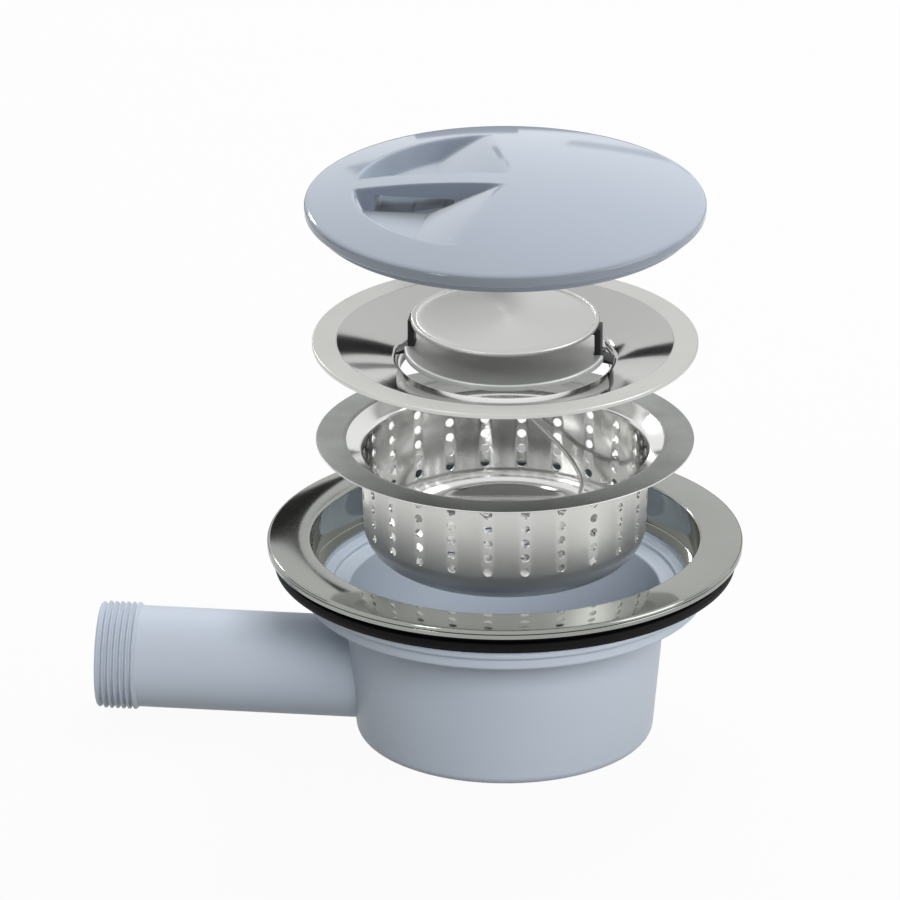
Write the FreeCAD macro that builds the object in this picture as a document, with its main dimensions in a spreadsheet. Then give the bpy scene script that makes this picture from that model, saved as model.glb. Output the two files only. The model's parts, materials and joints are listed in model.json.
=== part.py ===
import FreeCAD, Part
import math
import os
import re
import Sketcher

# Basket strainer waste for a kitchen sink, in millimetres.
# The origin is the centre of the cup's underside, +Z is up and the side outlet points along -X.
# The loose pieces stand lifted off one above the other, in the order in which they go in.

doc = FreeCAD.newDocument("BasketStrainerWaste")
sheet = doc.addObject("Spreadsheet::Sheet", "Sizes")

SIZES = [
    # Steel flange
    ("flange_radius", 92.5, "outside of the rolled hem"),
    ("flange_top", 81.0, "top face above the cup's underside"),
    ("flange_sheet", 0.8, "thickness of the steel"),
    ("hem_height", 4.0, "height of the rolled hem"),
    ("hem_fold", 1.8, "thickness of the folded hem"),
    ("hem_round", 1.5, "rounding of the hem's top edge"),
    ("opening_radius", 75.5, "inside of the collar"),
    ("opening_round", 1.0, "rounding of the opening's edge"),
    ("collar_depth", 16.4, "from the top face down to the seat ledge"),
    ("ledge_width", 4.5, "width of the seat ledge"),
    # Rubber rings
    ("seal_radius", 88.0, "outside of the upper seal"),
    ("gasket_radius", 90.0, "outside of the lower gasket"),
    ("gasket_height", 4.0, "thickness of the lower gasket"),
    ("fit_gap", 0.3, "play around the collar"),
    # Cup
    ("shoulder_top", 70.0, "top of the plastic shoulder"),
    ("shoulder_height", 12.0, "height of the shoulder band"),
    ("shoulder_radius", 80.5, "outside of the ridges"),
    ("band_radius", 78.4, "outside of the band below the ridges"),
    ("ridge_height", 2.6, "height of one rounded ridge"),
    ("groove_height", 1.6, "height of the groove under a ridge"),
    ("groove_depth", 1.6, "depth of the groove under a ridge"),
    ("ridge_round", 0.9, "rounding of the ridges"),
    ("step_width", 4.0, "tread of the inner steps"),
    ("step_drop", 2.0, "height of the inner steps"),
    ("cup_top_radius", 63.0, "outside of the cup under the shoulder"),
    ("cup_bottom_radius", 57.5, "outside of the cup at its underside"),
    ("cup_wall", 2.6, "wall of the cup"),
    ("cup_floor", 2.6, "floor of the cup"),
    ("cup_round", 4.0, "rounding of the cup's lower edge"),
    # Side outlet
    ("pipe_height", 22.6, "axis of the outlet above the cup's underside"),
    ("pipe_radius", 19.8, "outside of the outlet"),
    ("pipe_bore", 17.0, "inside radius of the outlet"),
    ("pipe_reach", 159.0, "from the cup's axis to the outlet's mouth"),
    ("thread_radius", 20.95, "crest of the outlet's male thread"),
    ("thread_length", 15.0, "length of the thread"),
    ("mouth_round", 1.0, "rounding of the mouth's edge"),
    ("weld_gap", 0.05, "weld line around the outlet"),
    # Basket
    ("basket_lift", 40.9, "rim above the flange, as taken out"),
    ("basket_sheet", 0.7, "thickness of the steel"),
    ("basket_rim", 73.4, "outside of the rim"),
    ("basket_mouth", 62.5, "inside of the rim"),
    ("basket_wall", 56.0, "outside of the wall under the rim"),
    ("basket_taper", 1.5, "how much the wall draws in"),
    ("basket_depth", 48.0, "from the rim to the underside"),
    ("basket_shoulder", 4.0, "rounding under the rim"),
    ("basket_corner", 14.0, "rounding at the floor"),
    ("plateau_radius", 36.0, "raised middle of the floor"),
    ("plateau_rise", 3.0, "rise of the raised middle"),
    ("plateau_slope", 3.0, "width of the slope around the middle"),
    ("hole_radius", 1.8, "round holes of the wall"),
    ("hole_columns", 24, "columns of holes around the wall"),
    ("hole_first", 8.5, "first row below the rim"),
    ("hole_pitch", 6.1, "from row to row"),
    ("floor_hole_radius", 1.5, "round holes of the floor"),
    ("floor_lines", 12, "radial lines of holes on the floor"),
    ("floor_first", 9.0, "first hole from the axis"),
    ("floor_pitch", 7.0, "from hole to hole along a line"),
    # Bail
    ("wire_radius", 0.9, "wire of the bail"),
    ("bail_height", 35.0, "from the pivots to the top of the bail"),
    ("bail_taper", 9.0, "how far each leg leans in"),
    ("bail_round", 20.0, "rounding of the bail's corners"),
    ("bail_hook", 4.0, "hooked end outside the wall"),
    ("bail_bend", 1.6, "bend at the hook"),
    ("bail_play", 0.4, "room between the wire and the wall"),
    ("bail_rest", 130.0, "how far the bail is folded from upright, in degrees"),
    # Funnel dish
    ("dish_lift", 40.9, "rim above the basket's rim, as taken out"),
    ("dish_sheet", 0.8, "thickness of the steel"),
    ("dish_rim", 74.8, "outside of the rim"),
    ("dish_mouth", 65.4, "inside of the rim"),
    ("dish_edge", 1.9, "height of the turned-down edge"),
    ("dish_depth", 7.0, "from the rim to the throat"),
    ("throat_radius", 40.8, "inside of the throat"),
    ("throat_length", 6.0, "length of the throat"),
    ("dish_round", 3.6, "rounding of the folds"),
    # Cap over the throat
    ("cap_height", 8.6, "underside of the cap above the dish's rim"),
    ("cap_radius", 36.6, "outside of the cap"),
    ("cap_edge", 1.8, "height of the cap's edge"),
    ("cap_rise", 1.6, "crown of the cap"),
    ("cap_round", 0.7, "rounding of the cap's edge"),
    ("plate_radius", 39.0, "outside of the lower plate"),
    ("plate_sheet", 0.8, "thickness of the lower plate"),
    ("plate_edge", 2.4, "height of the plate's turned-down edge"),
    ("plate_top", 2.0, "top of the lower plate below the dish's rim"),
    ("leg_outer", 37.6, "outside of the carrier's legs"),
    ("leg_width", 8.0, "width of the carrier"),
    ("leg_wall", 2.4, "thickness of the carrier"),
    ("toe_length", 3.2, "shelf under the lower plate"),
    ("foot_height", 2.0, "thickness of the carrier's feet"),
    ("foot_overlap", 3.2, "how far the feet reach onto the dish"),
    ("notch_gap", 0.3, "room around the legs in the plate"),
    # Lid
    ("lid_lift", 54.4, "edge above the dish's rim, as taken off"),
    ("lid_radius", 77.8, "outside of the lid"),
    ("lid_edge", 4.4, "height of the edge"),
    ("lid_rise", 9.6, "crown above the edge"),
    ("lid_round", 1.6, "rounding of the edge"),
    ("lid_wall", 2.4, "wall of the moulding"),
    ("skirt_radius", 74.0, "outside of the locating skirt"),
    ("skirt_height", 3.2, "height of the locating skirt"),
    ("pocket_radius", 58.5, "outer wall of the finger pockets"),
    ("pocket_floor", 0.8, "floor of the pockets above the lid's edge"),
    ("pocket_angle", 84.0, "from the bar to the pocket's far side, in degrees"),
    ("pocket_slope", 0.42, "fall of the ramp for each millimetre"),
    ("bar_width", 12.0, "bridge bar between the pockets"),
    ("window_start", 19.0, "near end of the window under the bar, from the axis"),
    ("window_end", 50.0, "far end of the window"),
    ("window_height", 6.2, "height of the window"),
]

for row, (alias, size, note) in enumerate(SIZES, start=1):
    sheet.set(f"A{row}", note)
    sheet.set(f"B{row}", str(size))
    sheet.setAlias(f"B{row}", alias)
doc.recompute()
ALIASES = {alias for alias, size, note in SIZES}


# A formula in the sheet's words, as an expression on its cells.
def formula(words):
    return re.sub(r"[a-z_]+", lambda word: f"Sizes.{word[0]}" if word[0] in ALIASES else word[0], str(words))


def number(words):
    return float(sheet.evalExpression(formula(words)))


def bind(target, prop, words):
    target.setExpression(prop, formula(words))


def new_body(label):
    return doc.addObject("PartDesign::Body", label)


def new_sketch(body, name, role):
    sketch = body.newObject("Sketcher::SketchObject", name)
    plane = [part for part in body.Origin.OriginFeatures if part.Role == role][0]
    sketch.AttachmentSupport = [(plane, "")]
    sketch.MapMode = "FlatFace"
    return sketch


# Draws an outline through corners given as formulas (x, y) or (x, y, rounding).
# A side named in arcs is a circular arc of that radius, turning clockwise; its two corners stay sharp.
def draw(sketch, corners, closed=True, arcs=None):
    arcs = arcs or {}
    points = [FreeCAD.Vector(number(corner[0]), number(corner[1]), 0) for corner in corners]
    rounds = [number(corner[2]) if len(corner) > 2 else 0.0 for corner in corners]
    count = len(points)
    sides = count if closed else count - 1
    ways = [(points[(i + 1) % count] - points[i]).normalize() for i in range(sides)]
    rules = []
    bound = []

    def fix(kind, element, place, words):
        rules.append(Sketcher.Constraint(kind, -1, 1, element, place, number(words)))
        bound.append((len(rules) - 1, words))

    setbacks = []
    for i in range(count):
        turn = ways[i - 1].getAngle(ways[i % sides]) if rounds[i] else 0.0
        setbacks.append(rounds[i] * math.tan(turn / 2))
    lines = []
    for i in range(sides):
        start = points[i] + ways[i] * setbacks[i]
        end = points[(i + 1) % count] - ways[i] * setbacks[(i + 1) % count]
        if i in arcs:
            radius = number(arcs[i])
            half = (end - start).Length / 2
            aside = FreeCAD.Vector(ways[i].y, -ways[i].x, 0)
            centre = (start + end) / 2 + aside * math.sqrt(radius ** 2 - half ** 2)
            circle = Part.Circle(centre, FreeCAD.Vector(0, 0, 1), radius)
            first = math.atan2(end.y - centre.y, end.x - centre.x)
            last = math.atan2(start.y - centre.y, start.x - centre.x)
            lines.append(sketch.addGeometry(Part.ArcOfCircle(circle, first, last)))
            rules.append(Sketcher.Constraint("Radius", lines[i], radius))
            bound.append((len(rules) - 1, arcs[i]))
        else:
            lines.append(sketch.addGeometry(Part.LineSegment(start, end)))
    starts = [2 if i in arcs else 1 for i in range(sides)]
    ends = [1 if i in arcs else 2 for i in range(sides)]
    for i, corner in enumerate(corners):
        inner = closed or 0 < i < count - 1
        if rounds[i] and inner:
            left = ways[i - 1].cross(ways[i]).z > 0
            side = 1 if left else -1
            normal = FreeCAD.Vector(-ways[i].y, ways[i].x, 0) * side
            leave = points[i] + ways[i] * setbacks[i]
            arrive = points[i] - ways[i - 1] * setbacks[i]
            centre = leave + normal * rounds[i]
            first, last = (arrive, leave) if left else (leave, arrive)
            angles = [math.atan2(p.y - centre.y, p.x - centre.x) for p in (first, last)]
            circle = Part.Circle(centre, FreeCAD.Vector(0, 0, 1), rounds[i])
            arc = sketch.addGeometry(Part.ArcOfCircle(circle, *angles))
            tip = sketch.addGeometry(Part.Point(points[i]), True)
            entry, leaving = (1, 2) if left else (2, 1)
            rules.append(Sketcher.Constraint("Tangent", lines[i - 1], ends[i - 1], arc, entry))
            rules.append(Sketcher.Constraint("Tangent", arc, leaving, lines[i], starts[i]))
            rules.append(Sketcher.Constraint("Radius", arc, rounds[i]))
            bound.append((len(rules) - 1, corner[2]))
            rules.append(Sketcher.Constraint("PointOnObject", tip, 1, lines[i - 1]))
            rules.append(Sketcher.Constraint("PointOnObject", tip, 1, lines[i]))
            fix("DistanceX", tip, 1, corner[0])
            fix("DistanceY", tip, 1, corner[1])
            continue
        if inner:
            rules.append(Sketcher.Constraint("Coincident", lines[i - 1], ends[i - 1], lines[i], starts[i]))
        at_end = not closed and i == count - 1
        element, place = (lines[-1], ends[-1]) if at_end else (lines[i], starts[i])
        fix("DistanceX", element, place, corner[0])
        fix("DistanceY", element, place, corner[1])
    offset = sketch.ConstraintCount
    sketch.addConstraint(rules)
    for index, words in bound:
        if re.search("[a-z]", str(words)):
            sketch.setExpression(f"Constraints[{offset + index}]", formula(words))
    return sketch


def draw_octagon(sketch, x, y, radius):
    turns = [f"{22.5 + 45 * corner} deg" for corner in range(8)]
    draw(sketch, [(f"{x} + {radius} * cos({turn})", f"{y} + {radius} * sin({turn})") for turn in turns])


def revolve(body, sketch, axis="V_Axis"):
    turned = body.newObject("PartDesign::Revolution", "Turned")
    turned.Profile = sketch
    turned.ReferenceAxis = (sketch, [axis])
    turned.Angle = 360
    return turned


# A piece turned about the vertical axis from its half section.
def turned_piece(label, corners, height=None, arcs=None):
    body = new_body(label)
    revolve(body, draw(new_sketch(body, "HalfSection", "XZ_Plane"), corners, arcs=arcs))
    if height:
        bind(body, "Placement.Base.z", height)
    return body


def round_hoop(body, radius, height, rounding):
    base = body.Tip
    doc.recompute()
    named = []
    for index, edge in enumerate(base.Shape.Edges, start=1):
        box = edge.BoundBox
        level = abs(box.ZMin - number(height)) < 1e-6 and abs(box.ZMax - number(height)) < 1e-6
        if level and abs(box.XMax - number(radius)) < 1e-6:
            named.append(f"Edge{index}")
    fillet = body.newObject("PartDesign::Fillet", "EdgeRound")
    fillet.Base = (base, named)
    bind(fillet, "Radius", rounding)
    return fillet


def cut_pattern(body, sketch, length, copies):
    pocket = body.newObject("PartDesign::Pocket", "Punched")
    pocket.Profile = sketch
    pocket.Type = "Length"
    bind(pocket, "Length", length)
    pocket.Refine = False
    doc.recompute()
    pattern = body.newObject("PartDesign::PolarPattern", "Ring")
    pattern.Originals = [pocket]
    pattern.Axis = ([part for part in body.Origin.OriginFeatures if part.Role == "Z_Axis"][0], [""])
    pattern.Angle = 360
    pattern.Refine = False
    bind(pattern, "Occurrences", copies)
    body.Tip = pattern
    return pattern


# Fixed body: flange, rubber rings, cup and outlet

LEDGE = "flange_top - collar_depth"
COLLAR_OUT = "(opening_radius + flange_sheet)"
HEM_IN = "(flange_radius - hem_fold)"
UNDERSIDE = "(flange_top - flange_sheet)"

top_flange = turned_piece("top_flange", [
    ("opening_radius - ledge_width", f"{LEDGE} - flange_sheet"),
    (COLLAR_OUT, f"{LEDGE} - flange_sheet"),
    (COLLAR_OUT, UNDERSIDE),
    (HEM_IN, UNDERSIDE),
    (HEM_IN, "flange_top - hem_height"),
    ("flange_radius", "flange_top - hem_height"),
    ("flange_radius", "flange_top", "hem_round"),
    ("opening_radius", "flange_top", "opening_round"),
    ("opening_radius", LEDGE),
    ("opening_radius - ledge_width", LEDGE),
])


def ring(label, outside, bottom, top):
    inside = f"{COLLAR_OUT} + fit_gap"
    return turned_piece(label, [(inside, bottom), (outside, bottom), (outside, top), (inside, top)])


upper_seal = ring("upper_seal", "seal_radius", "shoulder_top + gasket_height", UNDERSIDE)
lower_gasket = ring("lower_gasket", "gasket_radius", "shoulder_top", "shoulder_top + gasket_height")

SHOULDER_LOW = "(shoulder_top - shoulder_height)"
SEAT = f"({LEDGE} - flange_sheet)"
STEP_IN = "(opening_radius - ledge_width)"
GROOVE = "(shoulder_radius - groove_depth)"
FIRST = "(shoulder_top - ridge_height)"
SECOND = "(shoulder_top - ridge_height - groove_height)"
THIRD = "(shoulder_top - 2 * ridge_height - groove_height)"
INNER_TOP = "(cup_top_radius - cup_wall)"
INNER_LOW = "(cup_bottom_radius - cup_wall)"

body_cup = turned_piece("body_cup", [
    (0, 0),
    ("cup_bottom_radius", 0, "cup_round"),
    ("cup_top_radius", SHOULDER_LOW),
    ("band_radius", SHOULDER_LOW, "ridge_round"),
    ("band_radius", THIRD),
    ("shoulder_radius", THIRD, "ridge_round"),
    ("shoulder_radius", SECOND, "ridge_round"),
    (GROOVE, SECOND),
    (GROOVE, FIRST),
    ("shoulder_radius", FIRST, "ridge_round"),
    ("shoulder_radius", "shoulder_top"),
    (f"{COLLAR_OUT} + fit_gap", "shoulder_top"),
    (f"{COLLAR_OUT} + fit_gap", SEAT),
    (STEP_IN, SEAT, "ridge_round"),
    (STEP_IN, f"{SEAT} - step_drop"),
    (f"{STEP_IN} - step_width", f"{SEAT} - step_drop", "ridge_round"),
    (f"{STEP_IN} - step_width", f"{SEAT} - 2 * step_drop"),
    (INNER_TOP, f"{SEAT} - 2 * step_drop"),
    (INNER_LOW, "cup_floor"),
    (0, "cup_floor"),
])
hole_sketch = new_sketch(body_cup, "OutletHole", "YZ_Plane")
hole = hole_sketch.addGeometry(Part.Circle(FreeCAD.Vector(0, number("pipe_height"), 0),
                                           FreeCAD.Vector(0, 0, 1), number("pipe_radius + weld_gap")))
hole_sketch.addConstraint(Sketcher.Constraint("PointOnObject", hole, 3, -2))
for kind, words in (("DistanceY", "pipe_height"), ("Radius", "pipe_radius + weld_gap")):
    place = (-1, 1, hole, 3) if kind == "DistanceY" else (hole,)
    rule = hole_sketch.addConstraint(Sketcher.Constraint(kind, *place, number(words)))
    hole_sketch.setExpression(f"Constraints[{rule}]", formula(words))
outlet_hole = body_cup.newObject("PartDesign::Pocket", "OutletPocket")
outlet_hole.Profile = hole_sketch
outlet_hole.Type = "Length"
bind(outlet_hole, "Length", "cup_top_radius")

pipe_blank = new_body("pipe_blank")
pipe_section = draw(new_sketch(pipe_blank, "HalfSection", "XZ_Plane"), [
    ("0 - cup_bottom_radius / 2", "pipe_bore"),
    ("0 - cup_bottom_radius / 2", "pipe_radius"),
    ("thread_length - pipe_reach", "pipe_radius"),
    ("thread_length - pipe_reach", "thread_radius"),
    ("0 - pipe_reach", "thread_radius", "mouth_round"),
    ("0 - pipe_reach", "pipe_bore"),
])
revolve(pipe_blank, pipe_section, "H_Axis")
bind(pipe_blank, "Placement.Base.z", "pipe_height")

# The outlet ends flush with the cup's inner wall.
well = doc.addObject("Part::Cone", "well")
bind(well, "Radius1", INNER_LOW)
bind(well, "Radius2", INNER_TOP)
bind(well, "Height", f"{SEAT} - 2 * step_drop - cup_floor")
bind(well, "Placement.Base.z", "cup_floor")
outlet_pipe = doc.addObject("Part::Cut", "outlet_pipe")
outlet_pipe.Base = pipe_blank
outlet_pipe.Tool = well

# Basket and its bail

BASKET_Z = "flange_top + basket_lift"
IN_WALL = "(basket_wall - basket_sheet)"
LOW_WALL = "(basket_wall - basket_taper)"
FLOOR = "(0 - basket_depth)"

basket = turned_piece("basket", [
    (0, f"{FLOOR} + plateau_rise"),
    ("plateau_radius", f"{FLOOR} + plateau_rise"),
    ("plateau_radius + plateau_slope", FLOOR),
    (LOW_WALL, FLOOR, "basket_corner"),
    ("basket_wall", "0 - basket_shoulder"),
    ("basket_mouth", 0),
    ("basket_rim", 0),
    ("basket_rim", "basket_sheet"),
    ("basket_mouth", "basket_sheet"),
    (IN_WALL, "basket_sheet - basket_shoulder"),
    (f"{LOW_WALL} - basket_sheet", f"{FLOOR} + basket_sheet", "basket_corner - basket_sheet"),
    ("plateau_radius + plateau_slope", f"{FLOOR} + basket_sheet"),
    ("plateau_radius", f"{FLOOR} + plateau_rise + basket_sheet"),
    (0, f"{FLOOR} + plateau_rise + basket_sheet"),
], height=BASKET_Z)
WALL_ROWS = 5
wall_holes = new_sketch(basket, "WallHoles", "XZ_Plane")
for row in range(WALL_ROWS):
    draw_octagon(wall_holes, "0", f"(0 - hole_first - {row} * hole_pitch)", "hole_radius")
cut_pattern(basket, wall_holes, "basket_rim", "hole_columns")
FLOOR_ROWS = 4
floor_holes = new_sketch(basket, "FloorHoles", "XY_Plane")
for row in range(FLOOR_ROWS):
    draw_octagon(floor_holes, f"(floor_first + {row} * floor_pitch)", "0", "floor_hole_radius")
cut_pattern(basket, floor_holes, "basket_depth", "floor_lines")

bail_handle = new_body("bail_handle")
HOOK_OUT = "(basket_wall + bail_play + wire_radius)"
LEG_IN = "(basket_wall - basket_sheet - basket_taper - bail_play - wire_radius)"
bail_path = draw(new_sketch(bail_handle, "WirePath", "YZ_Plane"), [
    (f"0 - {HOOK_OUT}", "0 - bail_hook"),
    (f"0 - {HOOK_OUT}", 0, "bail_bend"),
    (f"0 - {LEG_IN}", 0, "bail_bend"),
    (f"bail_taper - {LEG_IN}", "bail_height", "bail_round"),
    (f"{LEG_IN} - bail_taper", "bail_height", "bail_round"),
    (LEG_IN, 0, "bail_bend"),
    (HOOK_OUT, 0, "bail_bend"),
    (HOOK_OUT, "0 - bail_hook"),
], closed=False)
wire_round = new_sketch(bail_handle, "WireRound", "XY_Plane")
wire_round.setExpression("AttachmentOffset.Base.z", formula("0 - bail_hook"))
wire = wire_round.addGeometry(Part.Circle(FreeCAD.Vector(0, number(f"0 - {HOOK_OUT}"), 0),
                                          FreeCAD.Vector(0, 0, 1), number("wire_radius")))
wire_round.addConstraint(Sketcher.Constraint("PointOnObject", wire, 3, -2))
for kind, words in (("DistanceY", f"0 - {HOOK_OUT}"), ("Radius", "wire_radius")):
    place = (-1, 1, wire, 3) if kind == "DistanceY" else (wire,)
    rule = wire_round.addConstraint(Sketcher.Constraint(kind, *place, number(words)))
    wire_round.setExpression(f"Constraints[{rule}]", formula(words))
doc.recompute()
bail_wire = bail_handle.newObject("PartDesign::AdditivePipe", "Wire")
bail_wire.Profile = wire_round
bail_wire.Spine = (bail_path, [f"Edge{i + 1}" for i in range(len(bail_path.Shape.Edges))])
bail_handle.Placement.Rotation = FreeCAD.Rotation(FreeCAD.Vector(0, 1, 0), number("bail_rest"))
bind(bail_handle, "Placement.Rotation.Angle", "bail_rest")
bind(bail_handle, "Placement.Base.z", f"{BASKET_Z} - hole_first")

# Funnel dish with the cap over its throat

DISH_Z = f"{BASKET_Z} + dish_lift"
THROAT_OUT = "(throat_radius + dish_sheet)"
DEEP = "(0 - dish_depth)"

funnel_dish = turned_piece("funnel_dish", [
    ("throat_radius", f"{DEEP} - throat_length"),
    (THROAT_OUT, f"{DEEP} - throat_length"),
    (THROAT_OUT, DEEP, "dish_round"),
    ("dish_mouth", 0),
    ("dish_rim - dish_sheet", 0),
    ("dish_rim - dish_sheet", "dish_sheet - dish_edge"),
    ("dish_rim", "dish_sheet - dish_edge"),
    ("dish_rim", "dish_sheet", "dish_sheet / 2"),
    ("dish_mouth", "dish_sheet"),
    ("throat_radius", f"{DEEP} + dish_sheet", "dish_round + dish_sheet"),
], height=DISH_Z)

CAP_ARC = "((cap_radius ^ 2 + cap_rise ^ 2) / (2 * cap_rise))"
cap_disc = turned_piece("cap_disc", [
    (0, "cap_height"),
    (0, "cap_height + cap_edge + cap_rise"),
    ("cap_radius", "cap_height + cap_edge"),
    ("cap_radius", "cap_height", "cap_round"),
], height=DISH_Z, arcs={1: CAP_ARC})
round_hoop(cap_disc, "cap_radius", "cap_height + cap_edge", "cap_round")

LEG_IN_SIDE = "(leg_outer - leg_wall)"
PLATE_LOW = "(0 - plate_top - plate_sheet)"
SLOPE_AT_FOOT = "(dish_sheet - dish_depth * (1 - foot_overlap / (dish_mouth - throat_radius)))"
FOOT_LOW = f"({SLOPE_AT_FOOT} + notch_gap / 2)"
FOOT_END = "(throat_radius + foot_overlap)"
lower_plate = turned_piece("lower_plate", [
    (0, PLATE_LOW),
    ("plate_radius - plate_sheet", PLATE_LOW),
    ("plate_radius - plate_sheet", "0 - plate_top - plate_edge"),
    ("plate_radius", "0 - plate_top - plate_edge"),
    ("plate_radius", "0 - plate_top", "plate_sheet / 2"),
    (0, "0 - plate_top"),
], height=DISH_Z)
notches = new_sketch(lower_plate, "LegNotches", "XY_Plane")
for side in ("", "0 - "):
    near = f"{side}({LEG_IN_SIDE} - notch_gap)"
    far = f"{side}(plate_radius + leg_wall)"
    half = "(leg_width / 2 + notch_gap)"
    draw(notches, [(near, f"0 - {half}"), (far, f"0 - {half}"), (far, half), (near, half)])
notch_cut = lower_plate.newObject("PartDesign::Pocket", "LegNotch")
notch_cut.Profile = notches
notch_cut.Type = "ThroughAll"
notch_cut.Midplane = True

cap_carrier = new_body("cap_carrier")
half_outline = [
    ("leg_outer", "cap_height"),
    ("leg_outer", f"{FOOT_LOW} + foot_height"),
    (FOOT_END, f"{FOOT_LOW} + foot_height"),
    (FOOT_END, FOOT_LOW),
    (f"{LEG_IN_SIDE} - toe_length", FOOT_LOW),
    (f"{LEG_IN_SIDE} - toe_length", PLATE_LOW),
    (LEG_IN_SIDE, PLATE_LOW),
    (LEG_IN_SIDE, "cap_height - leg_wall"),
]
mirrored = [(f"0 - ({x})", z) for x, z in reversed(half_outline)]
carrier_pad = cap_carrier.newObject("PartDesign::Pad", "Bridge")
carrier_pad.Profile = draw(new_sketch(cap_carrier, "SideOutline", "XZ_Plane"), half_outline + mirrored)
carrier_pad.Midplane = True
bind(carrier_pad, "Length", "leg_width")
bind(cap_carrier, "Placement.Base.z", DISH_Z)

# Lid with its two finger pockets

LID_Z = f"{DISH_Z} + lid_lift"
CROWN = "(lid_edge + lid_rise)"
DOME_ARC = "((lid_radius ^ 2 + lid_rise ^ 2) / (2 * lid_rise))"
HOLLOW = "(skirt_radius - lid_wall)"
HOLLOW_ARC = f"(({HOLLOW} ^ 2 + lid_rise ^ 2) / (2 * lid_rise))"

lid_blank = turned_piece("lid_blank", [
    (0, "0 - skirt_height"),
    (0, CROWN),
    ("lid_radius", "lid_edge"),
    ("lid_radius", 0, "lid_round"),
    ("skirt_radius", 0),
    ("skirt_radius", "0 - skirt_height"),
], height=LID_Z, arcs={1: DOME_ARC})
round_hoop(lid_blank, "lid_radius", "lid_edge", "lid_round")
lid_hollow = turned_piece("lid_hollow", [
    (0, "0 - 2 * skirt_height"),
    (0, f"{CROWN} - lid_wall"),
    (HOLLOW, "lid_edge - lid_wall"),
    (HOLLOW, "0 - 2 * skirt_height"),
], height=LID_Z, arcs={1: HOLLOW_ARC})


# The space of one finger pocket: a ramp that falls from the far side to a level floor beside the bar.
# With a wall, the space grows by that wall below and outside, and runs on under the bar.
def pocket(label, side, wall):
    outline = doc.addObject("Sketcher::SketchObject", f"{label}_outline")
    outline.Placement.Rotation = FreeCAD.Rotation(FreeCAD.Vector(1, 0, 0), 90)
    level = f"(pocket_floor - {wall})"
    draw(outline, [
        (f"0 - {wall}", CROWN),
        (f"({CROWN} - {level}) / pocket_slope - {wall}", level),
        ("lid_radius", level),
        ("lid_radius", f"2 * {CROWN}"),
        (f"0 - {wall}", f"2 * {CROWN}"),
    ])
    ramp = doc.addObject("Part::Extrusion", f"{label}_ramp")
    ramp.Base = outline
    ramp.DirMode = "Normal"
    ramp.Solid = True
    ramp.Symmetric = True
    bind(ramp, "LengthFwd", "2 * lid_radius")
    ramp.Placement.Rotation = FreeCAD.Rotation(FreeCAD.Vector(0, 0, 1), 180)
    bind(ramp, "Placement.Rotation.Angle", f"180 + {side} * (90 - pocket_angle)")
    bind(ramp, "Placement.Base.z", LID_Z)
    sector = doc.addObject("Part::Cylinder", f"{label}_sector")
    bind(sector, "Radius", f"pocket_radius + {wall}")
    bind(sector, "Height", f"4 * {CROWN}")
    bind(sector, "Placement.Base.z", f"{LID_Z} - {CROWN}")
    beside = doc.addObject("Part::Box", f"{label}_beside")
    bind(beside, "Length", "2 * lid_radius")
    bind(beside, "Width", "lid_radius")
    bind(beside, "Height", f"4 * {CROWN}")
    bind(beside, "Placement.Base.x", "0 - lid_radius")
    edge = "bar_width / 2" if wall == "0" else "0"
    bind(beside, "Placement.Base.y", edge if side > 0 else f"0 - {edge} - lid_radius")
    bind(beside, "Placement.Base.z", f"{LID_Z} - {CROWN}")
    space = doc.addObject("Part::MultiCommon", label)
    space.Shapes = [ramp, sector, beside]
    return space


pockets = [pocket(f"pocket_{name}", side, "0") for name, side in (("front", -1), ("back", 1))]
shells = [pocket(f"shell_{name}", side, "lid_wall") for name, side in (("front", -1), ("back", 1))]
# The window under the bar keeps the pockets' floor and ramps.
window_box = doc.addObject("Part::Box", "window_box")
bind(window_box, "Length", "window_end - window_start")
bind(window_box, "Width", "bar_width")
bind(window_box, "Height", "window_height")
bind(window_box, "Placement.Base.x", "0 - window_end")
bind(window_box, "Placement.Base.y", "0 - bar_width / 2")
bind(window_box, "Placement.Base.z", f"{LID_Z} + pocket_floor")
window = doc.addObject("Part::MultiCommon", "window")
window.Shapes = [window_box] + [space.Shapes[0] for space in pockets]


def cut(label, base, tool):
    result = doc.addObject("Part::Cut", label)
    result.Base = base
    result.Tool = tool
    return result


both_shells = doc.addObject("Part::MultiFuse", "both_shells")
both_shells.Shapes = shells
hollow = cut("hollow", lid_hollow, both_shells)
removed = doc.addObject("Part::MultiFuse", "removed")
removed.Shapes = [hollow, *pockets, window]
lid = cut("lid", lid_blank, removed)

doc.recompute()

PIECES = [top_flange, upper_seal, lower_gasket, body_cup, outlet_pipe, basket, bail_handle,
          funnel_dish, cap_disc, lower_plate, cap_carrier, lid]

for item in doc.Objects:
    if "Invalid" in item.State or "Error" in item.State:
        raise RuntimeError(f"{item.Label} did not compute: {item.State}")
os.makedirs("parts", exist_ok=True)
for piece in PIECES:
    shape = piece.Shape
    if shape.isNull() or not shape.isValid():
        raise RuntimeError(f"{piece.Label} has no valid shape")
    print(f"{piece.Label}: {len(shape.Solids)} solid, {shape.Volume:.1f} mm3, {shape.BoundBox}")
    shape.exportStep(f"parts/{piece.Label}.step")
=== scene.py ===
import bpy
import bmesh
import json
import math
from mathutils import Matrix, Vector


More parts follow.
